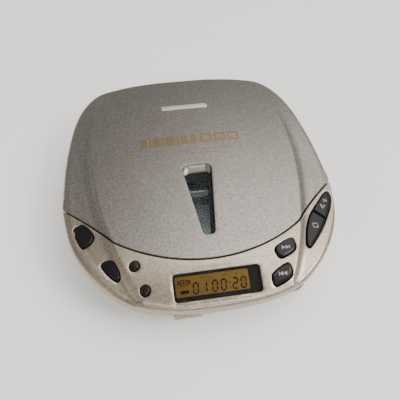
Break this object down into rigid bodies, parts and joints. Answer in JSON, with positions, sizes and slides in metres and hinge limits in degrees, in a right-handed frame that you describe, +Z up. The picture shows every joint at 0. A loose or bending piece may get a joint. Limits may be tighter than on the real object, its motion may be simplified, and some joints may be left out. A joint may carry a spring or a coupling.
{
  "type": "portable compact disc player",
  "caption": "Flat rounded portable disc player with a domed hinged lid, sloping control panel with display and buttons, and a working disc mechanism inside.",
  "frame": {"origin": "on the ground under the middle of the case", "axes": "+X to the right, +Y to the lid hinge at the back, +Z up"},
  "size_m": [0.1358, 0.1461, 0.032],
  "materials": {
    "silver_paint": "moulded plastic, metallic flake paint",
    "champagne_paint": "moulded plastic, warm metallic paint",
    "black_plastic": "moulded, matt",
    "black_rubber": "matt",
    "bright_steel": "satin",
    "spring_steel": "bright",
    "smoked_window": "polished smoked plastic",
    "clear_window": "polished clear plastic",
    "display_glass": "liquid crystal panel",
    "bright_trim": "satin",
    "circuit_board": "solder mask",
    "button_black": "satin gloss",
    "cell_wrap": "printed film",
    "disc": "mirror disc",
    "lens_glass": "polished"
  },
  "bodies": {
    "case": {"bottom_cabinet": "silver_paint", "middle_frame": "silver_paint", "front_panel": "champagne_paint", "disc_tray": "black_plastic", "rubber_feet": "black_rubber", "case_screws": "bright_steel", "hinge_pins": "bright_steel", "lid_spring": "spring_steel", "display_window": "clear_window", "display_panel": "display_glass", "display_holder": "black_plastic", "key_board": "circuit_board", "key_switches": "black_plastic", "main_board": "circuit_board", "board_chips": "black_plastic", "headphone_jack": "black_plastic", "line_out_jack": "black_plastic", "power_jack": "black_plastic", "volume_pot": "bright_steel", "side_switches": "bright_steel", "open_spring": "spring_steel", "battery_holder": "black_plastic", "battery_contacts": "spring_steel", "chassis_plate": "bright_steel", "chassis_dampers": "black_rubber", "chassis_screws": "bright_steel", "spindle_motor": "bright_steel", "guide_rod": "bright_steel", "guide_rail": "bright_steel", "feed_motor": "bright_steel", "battery_cells": "cell_wrap"},
    "lid": {"lid_cover": "silver_paint", "lid_liner": "black_plastic", "lid_window": "smoked_window", "lid_badge": "bright_trim"},
    "spinner": {"turntable": "black_plastic", "hub_balls": "bright_steel", "compact_disc": "disc"},
    "sled": {"pickup_base": "black_plastic"},
    "lens": {"objective_lens": "lens_glass"},
    "feed_screw": {"feed_screw": "bright_steel"},
    "volume_wheel": {"volume_wheel": "black_plastic", "volume_shaft": "bright_steel"},
    "hold_slider": {"hold_slider": "black_plastic"},
    "limiter_slider": {"limiter_slider": "black_plastic"},
    "open_slider": {"open_slider": "silver_paint"},
    "battery_door": {"battery_door": "silver_paint"},
    "sound_button": {"sound_button": "button_black"},
    "bass_button": {"bass_button": "button_black"},
    "mode_button": {"mode_button": "button_black"},
    "repeat_button": {"repeat_button": "button_black"},
    "skip_forward_button": {"skip_forward_button": "button_black"},
    "skip_back_button": {"skip_back_button": "button_black"},
    "play_button": {"play_button": "button_black"},
    "stop_button": {"stop_button": "button_black"}
  },
  "joints": [
    {"name": "lid_hinge", "type": "hinge", "parent": "case", "child": "lid", "pos_m": [0, 0.0665, 0.0175], "axis": [-1, 0, 0], "range_deg": [0, 60]},
    {"name": "disc_spin", "type": "hinge", "parent": "case", "child": "spinner", "pos_m": [0, 0.01, 0.012], "axis": [0, 0, -1], "continuous": true},
    {"name": "sled_slide", "type": "slide", "parent": "case", "child": "sled", "axis": [0, -1, 0], "range_m": [0, 0.033]},
    {"name": "lens_focus", "type": "slide", "parent": "sled", "child": "lens", "axis": [0, 0, 1], "range_m": [-0.0004, 0.0006], "stiffness_N_per_m": 50},
    {"name": "feed_screw_turn", "type": "hinge", "parent": "case", "child": "feed_screw", "pos_m": [-0.0235, -0.025, 0.011], "axis": [0, 1, 0], "range_deg": [0, 3960]},
    {"name": "volume_turn", "type": "hinge", "parent": "case", "child": "volume_wheel", "pos_m": [0.0351, -0.0563, 0.01], "axis": [0, 0, 1], "range_deg": [-140, 140]},
    {"name": "hold_slide", "type": "slide", "parent": "case", "child": "hold_slider", "axis": [0, 1, 0], "range_m": [0, 0.0015]},
    {"name": "limiter_slide", "type": "slide", "parent": "case", "child": "limiter_slider", "axis": [0, 1, 0], "range_m": [0, 0.0015]},
    {"name": "open_slide", "type": "slide", "parent": "case", "child": "open_slider", "axis": [1, 0, 0], "range_m": [0, 0.004], "stiffness_N_per_m": 300, "springref_m": -0.002, "deforming": ["open_spring"]},
    {"name": "battery_door_hinge", "type": "hinge", "parent": "case", "child": "battery_door", "pos_m": [0, 0.0273, 0.0017], "axis": [-1, 0, 0], "range_deg": [0, 90]},
    {"name": "sound_press", "type": "slide", "parent": "case", "child": "sound_button", "axis": [0, 0, -1], "range_m": [0, 0.0005], "stiffness_N_per_m": 400, "springref_m": -0.001},
    {"name": "bass_press", "type": "slide", "parent": "case", "child": "bass_button", "axis": [0, 0, -1], "range_m": [0, 0.0005], "stiffness_N_per_m": 400, "springref_m": -0.001},
    {"name": "mode_press", "type": "slide", "parent": "case", "child": "mode_button", "axis": [0, 0, -1], "range_m": [0, 0.0005], "stiffness_N_per_m": 400, "springref_m": -0.001},
    {"name": "repeat_press", "type": "slide", "parent": "case", "child": "repeat_button", "axis": [0, 0, -1], "range_m": [0, 0.0005], "stiffness_N_per_m": 400, "springref_m": -0.001},
    {"name": "skip_forward_press", "type": "slide", "parent": "case", "child": "skip_forward_button", "axis": [0, 0, -1], "range_m": [0, 0.0005], "stiffness_N_per_m": 400, "springref_m": -0.001},
    {"name": "skip_back_press", "type": "slide", "parent": "case", "child": "skip_back_button", "axis": [0, 0, -1], "range_m": [0, 0.0005], "stiffness_N_per_m": 400, "springref_m": -0.001},
    {"name": "play_press", "type": "slide", "parent": "case", "child": "play_button", "axis": [0, 0, -1], "range_m": [0, 0.0005], "stiffness_N_per_m": 400, "springref_m": -0.001},
    {"name": "stop_press", "type": "slide", "parent": "case", "child": "stop_button", "axis": [0, 0, -1], "range_m": [0, 0.0005], "stiffness_N_per_m": 400, "springref_m": -0.001}
  ],
  "couplings": [
    {"joint": "feed_screw_turn", "follows": "sled_slide", "rad_per_m": 2094.4}
  ]
}
